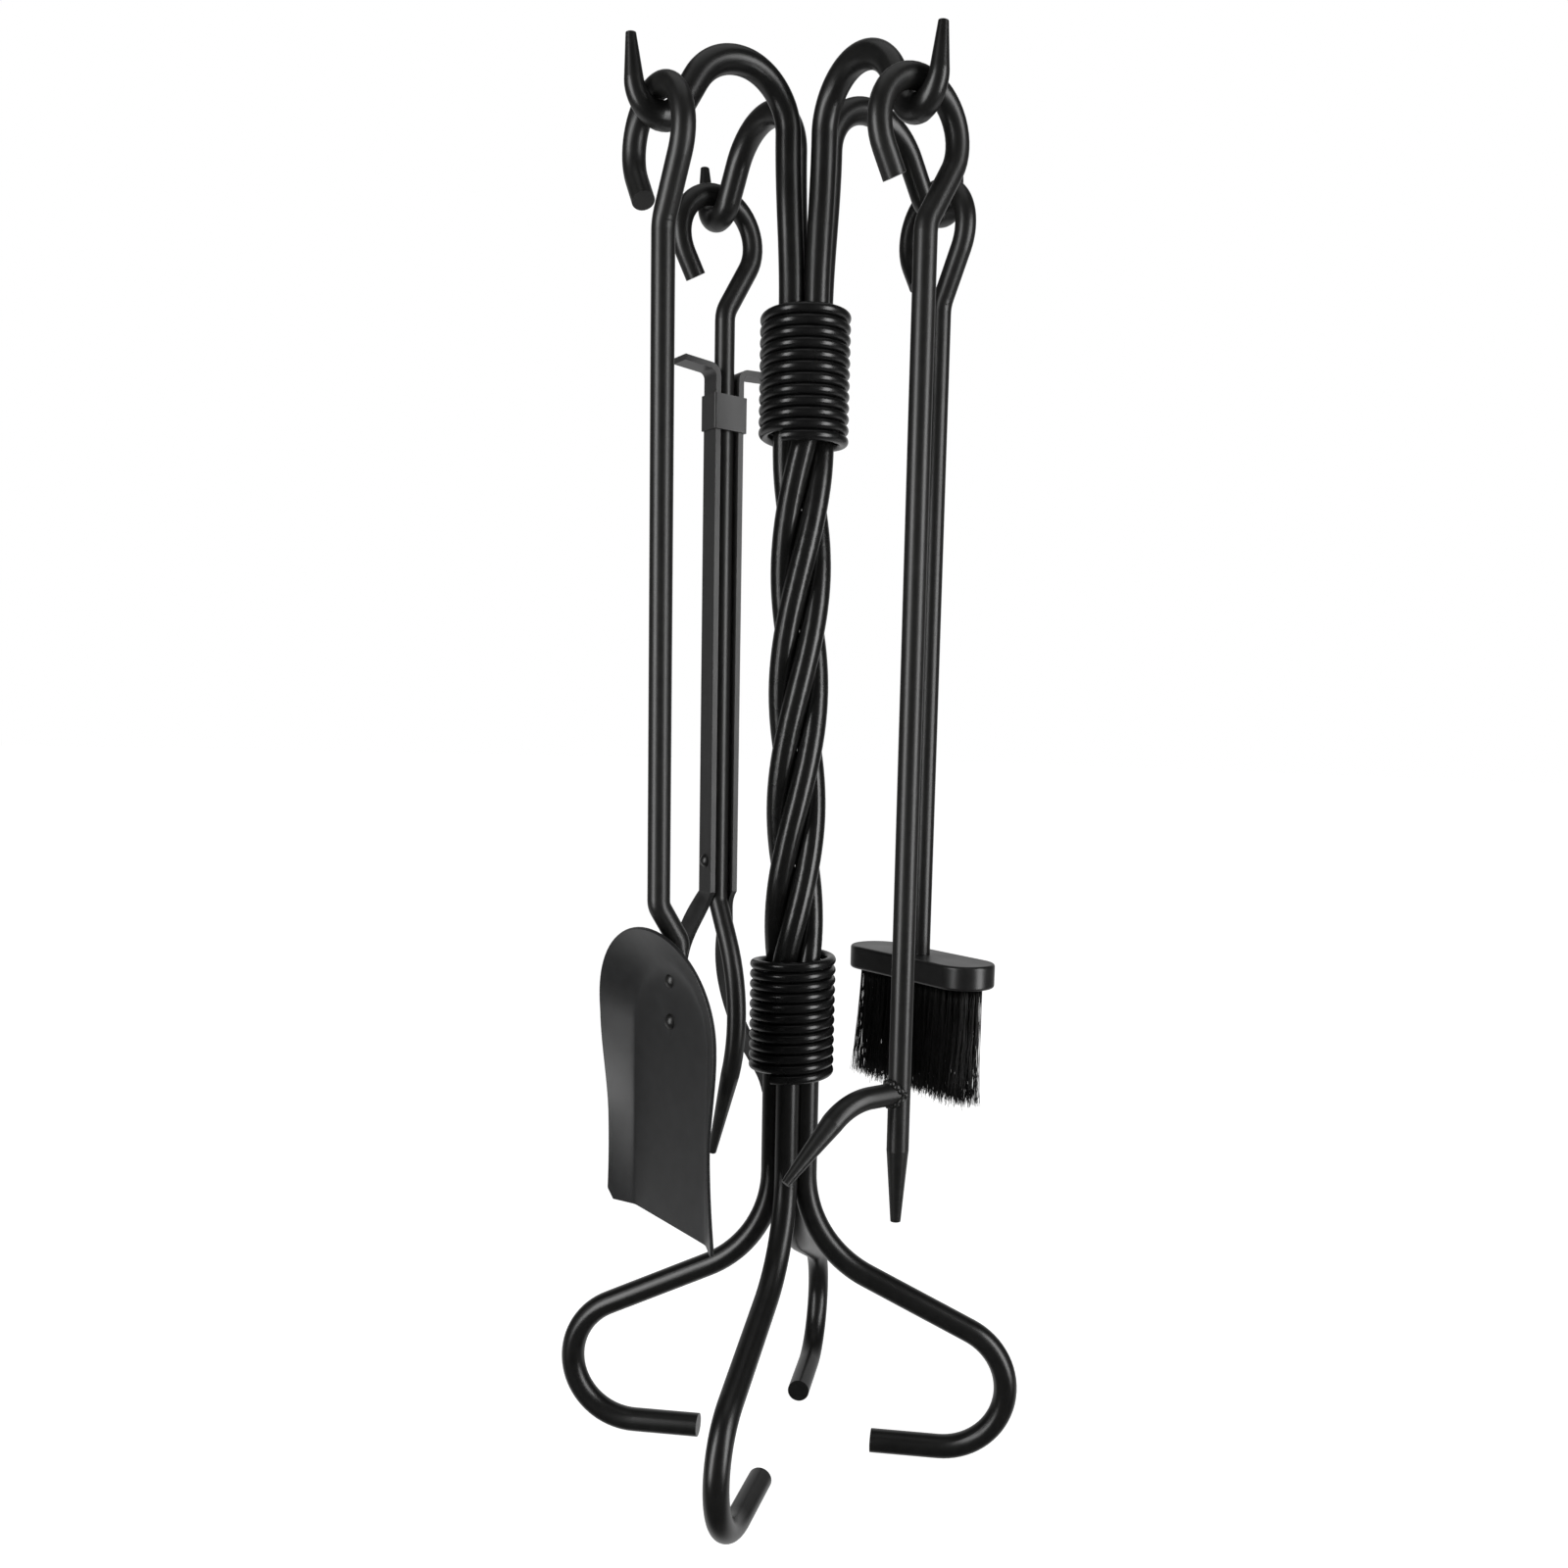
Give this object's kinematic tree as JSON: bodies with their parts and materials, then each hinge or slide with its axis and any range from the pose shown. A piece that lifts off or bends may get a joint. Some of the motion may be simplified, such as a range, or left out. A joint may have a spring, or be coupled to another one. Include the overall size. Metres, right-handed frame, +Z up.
{
  "type": "fireplace tool set",
  "caption": "Black steel fireplace tool set: twisted-rod stand with curled feet and arched hooks that carry a shovel, a poker, log tongs and a brush.",
  "frame": {"origin": "on the floor, on the vertical axis of the stand's twisted column", "axes": "+Z up along the column; the hooks point along -X (shovel), -Y (poker), +X (brush) and +Y (tongs); the feet lie at 45 degrees between them"},
  "size_m": [0.2039, 0.2105, 0.7161],
  "materials": {
    "stand_steel": "satin black powder coat on round steel rod",
    "wrap_wire": "semi-gloss black coated steel wire",
    "tool_steel": "satin black powder coat on round steel rod",
    "flat_steel": "satin black powder coat on flat steel bar and strap",
    "blade_steel": "matte charcoal powder coat on pressed sheet steel",
    "head_paint": "satin black coating on the brush head",
    "bristle": "stiff black synthetic bristle",
    "plain_steel": "zinc-plated steel stud, hidden inside the wraps"
  },
  "bodies": {
    "stand": {"arm_plate": "stand_steel", "column_bottom_plate": "stand_steel", "column_rod_1": "stand_steel", "column_rod_2": "stand_steel", "column_rod_3": "stand_steel", "column_rod_4": "stand_steel", "column_top_plate": "stand_steel", "hook_arm_brush": "stand_steel", "hook_arm_poker": "stand_steel", "hook_arm_shovel": "stand_steel", "hook_arm_tongs": "stand_steel", "leg_back": "stand_steel", "leg_front": "stand_steel", "leg_left": "stand_steel", "leg_plate": "stand_steel", "leg_right": "stand_steel", "lower_stud": "plain_steel", "lower_wrap": "wrap_wire", "upper_stud": "plain_steel", "upper_wrap": "wrap_wire"},
    "shovel": {"shovel_blade": "blade_steel", "shovel_handle": "tool_steel", "shovel_rivets": "tool_steel"},
    "poker": {"poker_barb": "tool_steel", "poker_shaft": "tool_steel", "poker_weld": "tool_steel"},
    "tongs": {"tongs_rod": "tool_steel"},
    "tongs_fork": {"tongs_bar_left": "flat_steel", "tongs_bar_right": "flat_steel", "tongs_strap": "flat_steel", "tongs_rivet": "tool_steel"},
    "brush": {"brush_bristles": "bristle", "brush_handle": "tool_steel", "brush_head": "head_paint"}
  },
  "joints": [
    {"name": "shovel_lift", "type": "slide", "parent": "stand", "child": "shovel", "axis": [0, 0, 1], "range_m": [0, 0.028]},
    {"name": "poker_lift", "type": "slide", "parent": "stand", "child": "poker", "axis": [0, 0, 1], "range_m": [0, 0.028]},
    {"name": "tongs_lift", "type": "slide", "parent": "stand", "child": "tongs", "axis": [0, 0, 1], "range_m": [0, 0.028]},
    {"name": "brush_lift", "type": "slide", "parent": "stand", "child": "brush", "axis": [0, 0, 1], "range_m": [0, 0.028]},
    {"name": "tongs_grip", "type": "hinge", "parent": "tongs", "child": "tongs_fork", "pos_m": [0.0054, 0.08496, 0.321], "axis": [1, 0, 0], "range_deg": [0, 11]}
  ]
}
